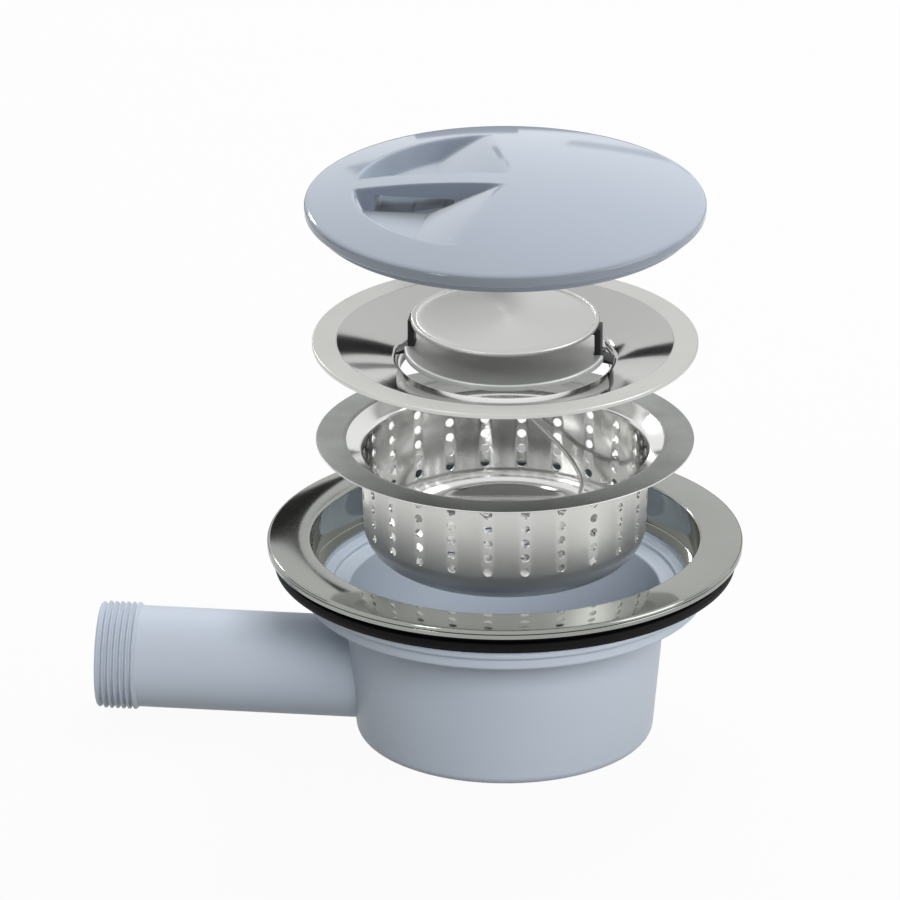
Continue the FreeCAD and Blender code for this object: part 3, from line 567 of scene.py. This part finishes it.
lidLow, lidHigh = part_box("lid")
lid = {"radius": lidHigh.x / mm, "edge": 4.4, "edgeFall": 0.4, "edgeRound": 1.4, "underRound": 1.2,
       "rise": 9.6, "domeInset": 1.5, "domeRows": 60, "hollowRows": 30, "steps": 256, "wall": 2.4,
       "skirt": 74.0, "skirtHeight": 3.2, "skirtRound": 0.5, "pocket": 58.5, "floor": 0.8,
       "floorRound": 1.0, "bar": 12.0, "far": 75.0, "fall": 0.44, "rampRound": 6.0, "outerSteep": 2.2,
       "outerRound": 1.6, "outerFoot": 3.0, "barSteep": 6.0, "barRound": 1.6, "barFoot": 2.0,
       "smoothing": 3, "sharp": 50,
       "window": [(-50, 0.95), (-36.5, 0.95), (-19, 4.6), (-19, 7.0), (-50, 7.0)], "windowPast": 2.0}
# where the mesh is refined and dipped, and which faces are pocket wall or passage
lidZone = {"fineReach": 63, "fineSide": 6, "fineAbove": 1.0, "cuts": 2, "dipReach": 64, "dipSide": 8,
           "wallPast": 2, "wallTilt": 0.8, "passageFrom": -50.1, "passageTo": -18.9, "passageHalf": 5,
           "passageLow": 0.9, "passageHigh": 7.1}
lidZ = lidLow.z + lid["skirtHeight"] * mm
domeR = (lid["radius"] ** 2 + lid["rise"] ** 2) / (2 * lid["rise"])
hollowR = lid["skirt"] - lid["wall"]
innerR = (hollowR ** 2 + lid["rise"] ** 2) / (2 * lid["rise"])


def domeHeight(r):
    return lid["edge"] + lid["rise"] - domeR + math.sqrt(domeR ** 2 - r ** 2)


def hollowHeight(r):
    return lid["edge"] + lid["rise"] - lid["wall"] - innerR + math.sqrt(innerR ** 2 - r ** 2)


def softMin(a, b, k):
    # the lesser of two heights, blended where they differ by less than k
    h = max(k - abs(a - b), 0) / k
    return min(a, b) - h * h * k / 4


def softAbove(t, k):
    # nought below, t above, and a parabola of width k between
    return 0.0 if t < -k / 2 else t if t > k / 2 else (t + k / 2) ** 2 / (2 * k)


def pocketDepth(x, y, wall=0.0):
    # a ramp that falls from the far side to a level floor, between the bar's face and a slanted outer wall;
    # a wall makes the matching bulge of the underside, which runs on under the bar
    r, beside = math.hypot(x, y), abs(y) - lid["bar"] / 2
    far = math.radians(lid["far"])
    inward = -x * math.sin(far) - beside * math.cos(far)
    ramp = lid["fall"] * softAbove(inward + wall, lid["rampRound"])
    outer = lid["outerSteep"] * softAbove(lid["pocket"] + wall - r, lid["outerRound"])
    depth = softMin(ramp, outer, lid["outerFoot"])
    if not wall:
        depth = softMin(depth, lid["barSteep"] * softAbove(beside, lid["barRound"]), lid["barFoot"])
    return max(softMin(depth, domeHeight(r) - lid["floor"], lid["floorRound"]), 0.0)


def inPocketArea(face):
    spot = face.calc_center_median() / mm
    under = hollowHeight(min(spot.xy.length, hollowR))
    inReach = spot.xy.length < lidZone["fineReach"] and spot.x < lidZone["fineSide"]
    return inReach and spot.z > under + lidZone["fineAbove"]


domeEnd = lid["radius"] - lid["domeInset"]
domeSpots = [i * domeEnd / lid["domeRows"] for i in range(lid["domeRows"] + 1)]
hollowSpots = [hollowR * (1 - i / lid["hollowRows"]) for i in range(lid["hollowRows"] + 1)]
section = [(r, domeHeight(r)) for r in domeSpots]
section += [(lid["radius"], lid["edge"] - lid["edgeFall"], lid["edgeRound"]),
            (lid["radius"], 0, lid["underRound"]), (lid["skirt"], 0),
            (lid["skirt"], -lid["skirtHeight"], lid["skirtRound"]),
            (hollowR, -lid["skirtHeight"], lid["skirtRound"])]
section += [(r, hollowHeight(r)) for r in hollowSpots]
bm = bmesh.new()
drawSection(bm, section)
axisEdges = [e for e in bm.edges if all(abs(v.co.x) < meshing["onAxis"] for v in e.verts)]
bmesh.ops.delete(bm, geom=axisEdges, context='EDGES')
spinSection(bm, lid["steps"])

# the pockets are dipped into a finer patch of the dome
fineEdges = {e for f in bm.faces if inPocketArea(f) for e in f.edges}
bmesh.ops.subdivide_edges(bm, edges=list(fineEdges), cuts=lidZone["cuts"], use_grid_fill=True)
dipped = []
for vert in bm.verts:
    x, y, z = vert.co / mm
    r = math.hypot(x, y)
    if r > lidZone["dipReach"] or x > lidZone["dipSide"]:
        continue
    isTop = z > (domeHeight(r) + hollowHeight(min(r, hollowR))) / 2
    if isTop:
        vert.co.z = (domeHeight(r) - pocketDepth(x, y)) * mm
        dipped.append(vert)
    else:
        vert.co.z = min(hollowHeight(r), domeHeight(r) - pocketDepth(x, y, lid["wall"]) - lid["wall"]) * mm
for step in range(lid["smoothing"]):
    bmesh.ops.smooth_vert(bm, verts=dipped, factor=0.5, use_axis_z=True)
bmesh.ops.recalc_face_normals(bm, faces=bm.faces[:])
bmesh.ops.translate(bm, verts=bm.verts[:], vec=(0, 0, lidZ))
lidPiece = makePiece("wasteLid", bm, [lidGloss, lidWallDullShaded, lidPassageShade], "lid", "lid", sharp=lid["sharp"])
bm = bmesh.new()
drawOut(bm, lid["window"], lidZ, 2 * (lid["bar"] / 2 + lid["windowPast"]) * mm)
cutWith(lidPiece, cutterFrom(bm), sharp=lid["sharp"])
# the pockets' steep walls are less polished than the top and a little darker as painted shade, and the
# passage under the bar is painted dark as the shade inside it
for face in lidPiece.data.polygons:
    x, y, z = (face.center - Vector((0, 0, lidZ))) / mm
    inPassage = (lidZone["passageFrom"] < x < lidZone["passageTo"] and abs(y) < lidZone["passageHalf"]
                 and lidZone["passageLow"] < z < lidZone["passageHigh"])
    isWall = (math.hypot(x, y) < lid["pocket"] + lidZone["wallPast"] and x < 0
              and 0 < face.normal.z < lidZone["wallTilt"])
    face.material_index = 2 if inPassage else 1 if isWall else 0
lidPiece.visible_glossy = False  # keeps the steel below it as bright as when it lies open
print("lid done")


# floor, light and camera

def plainPlane(name, size, place, material):
    bm = bmesh.new()
    bmesh.ops.create_grid(bm, x_segments=1, y_segments=1, size=size / 2)
    bmesh.ops.transform(bm, matrix=place, verts=bm.verts[:])
    mesh = meshFrom(name, bm)
    mesh.materials.append(material)
    plane = addObject(name, mesh)
    return plane


def anyRay(nodes, links, kinds):
    # 1 on rays of the given kinds and 0 on all others
    rays = nodes.new("ShaderNodeLightPath")
    found = rays.outputs[kinds[0]]
    for kind in kinds[1:]:
        either = nodes.new("ShaderNodeMath")
        either.operation = 'MAXIMUM'
        links.new(found, either.inputs[0])
        links.new(rays.outputs[kind], either.inputs[1])
        found = either.outputs[0]
    return found


def bareMaterial(name):
    material = bpy.data.materials.new(name)
    material.use_nodes = True
    material.node_tree.nodes.clear()
    output = material.node_tree.nodes.new("ShaderNodeOutputMaterial")
    return material, output


def floorMaterial(name, level, whiteShare):
    # a matte surface that the camera and reflections see almost white, with only a breath of shadow
    material, output = bareMaterial(name)
    nodes, links = material.node_tree.nodes, material.node_tree.links
    matte = nodes.new("ShaderNodeBsdfDiffuse")
    matte.inputs["Color"].default_value = (level, level, level, 1)
    glow = nodes.new("ShaderNodeEmission")
    glow.inputs["Color"].default_value = (1, 1, 1, 1)
    share = nodes.new("ShaderNodeMath")
    share.operation = 'MULTIPLY'
    share.inputs[1].default_value = whiteShare
    links.new(anyRay(nodes, links, ("Is Camera Ray", "Is Glossy Ray")), share.inputs[0])
    mix = nodes.new("ShaderNodeMixShader")
    links.new(share.outputs[0], mix.inputs["Fac"])
    links.new(matte.outputs[0], mix.inputs[1])
    links.new(glow.outputs[0], mix.inputs[2])
    links.new(mix.outputs[0], output.inputs["Surface"])
    return material


def cardMaterial(name, level):
    material, output = bareMaterial(name)
    glow = material.node_tree.nodes.new("ShaderNodeEmission")
    glow.inputs["Color"].default_value = (level, level, level, 1)
    material.node_tree.links.new(glow.outputs[0], output.inputs["Surface"])
    return material


ground = {"size": 6.0, "level": 0.55, "whiteShare": 0.95}
plainPlane("floor", ground["size"], Matrix.Identity(4),
           floorMaterial("floorWhite", ground["level"], ground["whiteShare"]))

# dark cards out of the camera's sight give the polished steel something to show
cards = [
    {"name": "cardHorizon", "wide": 1.8, "high": 0.18, "facing": 0, "level": 0.03,
     "spot": (0.0, 0.9, 0.10)},
    {"name": "cardStrip", "wide": 0.09, "high": 0.10, "facing": 0, "level": 0.03,
     "spot": (-0.235, 0.9, 0.435)},
    {"name": "cardPatch", "wide": 0.045, "high": 0.022, "facing": 0, "level": 0.03,
     "spot": (-0.035, 0.15, 0.215)},
    {"name": "cardFar", "wide": 0.16, "high": 0.05, "facing": 0, "level": 0.30,
     "spot": (0.03, 0.9, 0.30)},
    {"name": "cardStreak", "wide": 0.035, "high": 0.05, "facing": 0, "level": 0.03,
     "spot": (-0.175, 0.9, 0.515)},
    {"name": "cardLeft", "wide": 0.5, "high": 0.25, "facing": 90, "level": 0.06,
     "spot": (-0.9, 0.1, 0.2)},
    {"name": "cardRight", "wide": 0.4, "high": 0.2, "facing": -90, "level": 0.08,
     "spot": (0.9, 0.2, 0.2)},
]
for card in cards:
    facing = Matrix.Rotation(math.radians(card["facing"]), 4, 'Z')
    upright = facing @ Matrix.Rotation(math.pi / 2, 4, 'X')
    shape = Matrix.Diagonal((card["wide"], card["high"], 1, 1))
    board = plainPlane(card["name"], 1.0, Matrix.Translation(card["spot"]) @ upright @ shape,
                       cardMaterial(card["name"], card["level"]))
    board.visible_camera = False
    board.visible_diffuse = False
    board.visible_shadow = False

# white where it is seen, and soft light that comes mostly from behind, less from the camera's side
sky = {"front": 0.12, "behind": 0.64}
scene = bpy.context.scene
scene.view_settings.view_transform = 'Standard'
world = bpy.data.worlds.new("studio")
scene.world = world
world.use_nodes = True
nodes, links = world.node_tree.nodes, world.node_tree.links
background = nodes["Background"]
background.inputs["Color"].default_value = (1, 1, 1, 1)
towards = nodes.new("ShaderNodeTexCoord")
split = nodes.new("ShaderNodeSeparateXYZ")
links.new(towards.outputs["Generated"], split.inputs[0])
shade = nodes.new("ShaderNodeMapRange")
shade.inputs["From Min"].default_value = -1.0
shade.inputs["To Min"].default_value = sky["front"]
shade.inputs["To Max"].default_value = sky["behind"]
links.new(split.outputs["Y"], shade.inputs["Value"])
strength = nodes.new("ShaderNodeMapRange")
links.new(shade.outputs["Result"], strength.inputs["To Min"])
strength.inputs["To Max"].default_value = 1.0
seen = anyRay(nodes, links, ("Is Camera Ray", "Is Glossy Ray", "Is Transmission Ray"))
links.new(seen, strength.inputs["Value"])
links.new(strength.outputs["Result"], background.inputs["Strength"])

# the body's lamp lights the cup and pipe as they stand open, past the pieces that hang over them
bodyLit = bpy.data.collections.new("bodyLit")
bodyShade = bpy.data.collections.new("bodyShade")
for piece in (cupPiece, pipePiece):
    bodyLit.objects.link(piece)
    bodyShade.objects.link(piece)
bodyShade.objects.link(flangePiece)
lamps = [
    {"name": "keyLamp", "spot": (-0.7, -0.9, 1.3), "size": 0.25, "power": 2.5, "mirrored": True},
    {"name": "fillLamp", "spot": (1.3, -0.2, 0.6), "size": 0.9, "power": 6, "mirrored": True},
    {"name": "topLamp", "spot": (0.2, 0.9, 1.3), "size": 0.8, "power": 18, "mirrored": False},
    {"name": "sparkLamp", "spot": (-0.9, 1.35, 0.93), "size": 0.15, "power": 3, "mirrored": True},
    {"name": "bodyLamp", "spot": (0.45, -1.2, 0.86), "size": 0.6, "power": 16.5, "mirrored": False,
     "onto": bodyLit, "past": bodyShade},
]
aim = Vector((0, 0, 0.11))
for lamp in lamps:
    data = bpy.data.lights.new(lamp["name"], 'AREA')
    data.energy = lamp["power"]
    data.size = lamp["size"]
    light = addObject(lamp["name"], data)
    light.location = lamp["spot"]
    light.rotation_euler = (aim - Vector(lamp["spot"])).to_track_quat('-Z', 'Y').to_euler()
    light.visible_glossy = lamp["mirrored"]
    if "onto" in lamp:
        light.light_linking.receiver_collection = lamp["onto"]
        light.light_linking.blocker_collection = lamp["past"]

# a long lens; the flange's middle lies at axisPixel, planePixel of the picture, at pixel millimetres each
shot = {"azimuth": 7.0, "elevation": 23.0, "lens": 800.0, "sensor": 36.0, "pixel": 0.388, "image": 900,
        "axisPixel": 505, "planePixel": 536, "clipEnd": 100}
azimuth, elevation = math.radians(shot["azimuth"]), math.radians(shot["elevation"])
level = math.cos(elevation)
back = Vector((math.sin(azimuth) * level, -math.cos(azimuth) * level, math.sin(elevation)))
right = Vector((math.cos(azimuth), math.sin(azimuth), 0))
middle = shot["image"] / 2
aside = (middle - shot["axisPixel"]) * shot["pixel"] * mm
above = (shot["planePixel"] - middle) * shot["pixel"] * mm / level
target = Vector((0, 0, flangeHigh.z + above)) + right * aside
distance = shot["image"] * shot["pixel"] * mm * shot["lens"] / shot["sensor"]
cameraData = bpy.data.cameras.new("camera")
cameraData.lens = shot["lens"]
cameraData.sensor_width = shot["sensor"]
cameraData.clip_end = shot["clipEnd"]
camera = addObject("camera", cameraData)
camera.location = target + back * distance
camera.rotation_euler = (-back).to_track_quat('-Z', 'Y').to_euler()
scene.camera = camera
print("stage, light and camera set")
